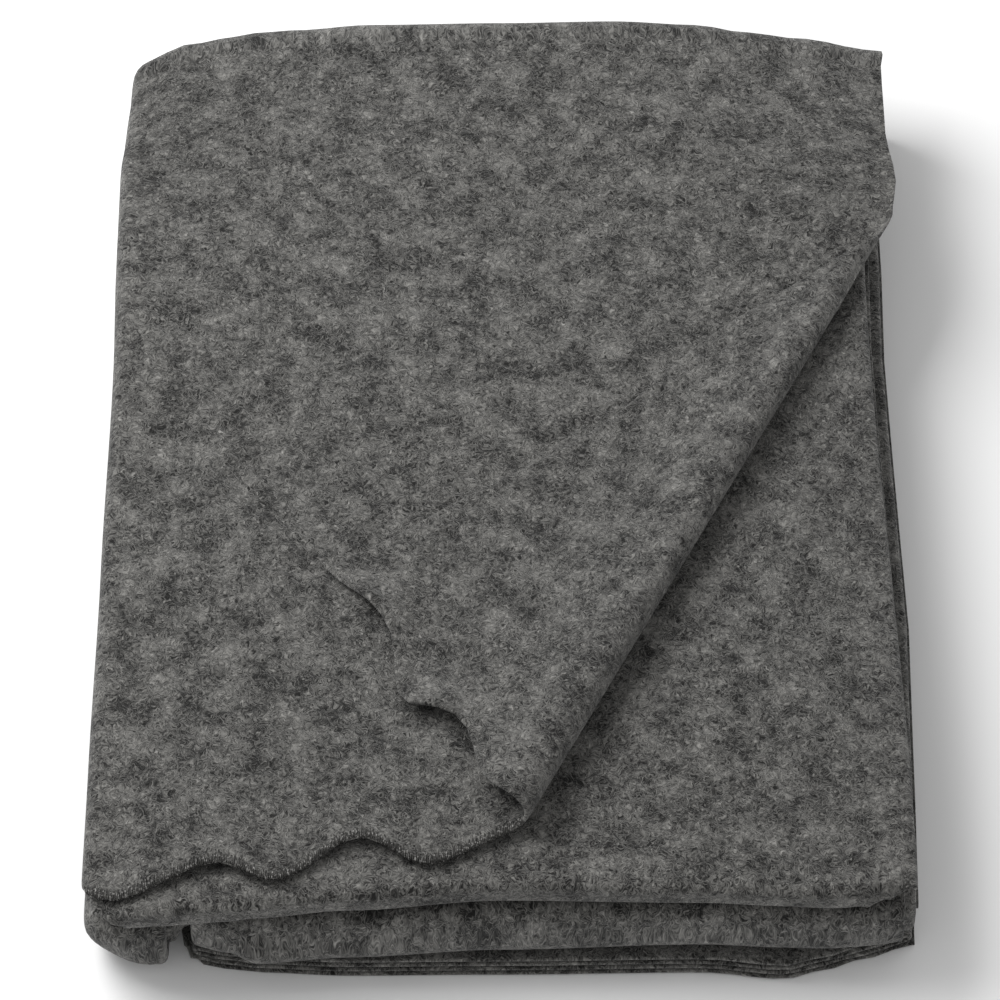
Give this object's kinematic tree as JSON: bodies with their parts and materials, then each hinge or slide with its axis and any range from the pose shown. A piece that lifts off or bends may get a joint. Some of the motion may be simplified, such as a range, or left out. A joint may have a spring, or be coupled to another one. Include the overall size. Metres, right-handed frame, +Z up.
{
  "type": "folded throw blanket",
  "caption": "Fleece throw folded into a flat rectangular bundle, with a wavy hem and one corner of its top layer turned back.",
  "frame": {"origin": "middle of the underside, where the bundle rests", "axes": "+X to the right across the bundle, -Y towards the wavy hem at the front, +Z up"},
  "size_m": [0.3292, 0.4492, 0.076],
  "materials": {
    "fleece": "mottled grey felted fleece",
    "hem_thread": "mixed light and dark overlock thread"
  },
  "bodies": {
    "root": {"throw": "fleece"}
  },
  "joints": []
}
